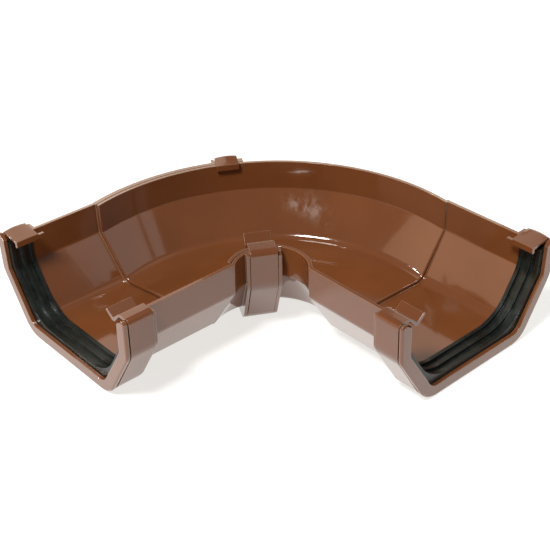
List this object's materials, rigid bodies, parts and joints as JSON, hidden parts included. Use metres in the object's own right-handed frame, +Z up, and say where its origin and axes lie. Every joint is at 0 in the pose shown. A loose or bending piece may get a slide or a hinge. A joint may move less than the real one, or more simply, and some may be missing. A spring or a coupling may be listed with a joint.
{
  "type": "adjustable gutter angle",
  "caption": "Corner piece for a trapezoid rainwater gutter: two clipped channel halves that swivel about the inner corner, with a ribbed seal in each socket.",
  "frame": {"origin": "centre of the bounding box in plan, at the lowest face of the part", "axes": "+X out of the right socket, -Y out of the left socket, +Z up to the open side"},
  "size_m": [0.2318, 0.2318, 0.0617],
  "materials": {
    "left_shell": "high gloss",
    "right_shell": "high gloss",
    "strap_plastic": "gloss",
    "seal_rubber": "satin"
  },
  "bodies": {
    "left": {"left_half": "left_shell", "left_strap": "strap_plastic", "left_seal": "seal_rubber", "centre_strap": "strap_plastic", "centre_seal": "seal_rubber"},
    "right": {"right_half": "right_shell", "right_strap": "strap_plastic", "right_seal": "seal_rubber"}
  },
  "joints": [
    {"name": "swivel", "type": "hinge", "parent": "left", "child": "right", "pos_m": [0.0219, -0.0219, 0.03], "axis": [0, 0, 1], "range_deg": [-30, 0]}
  ]
}
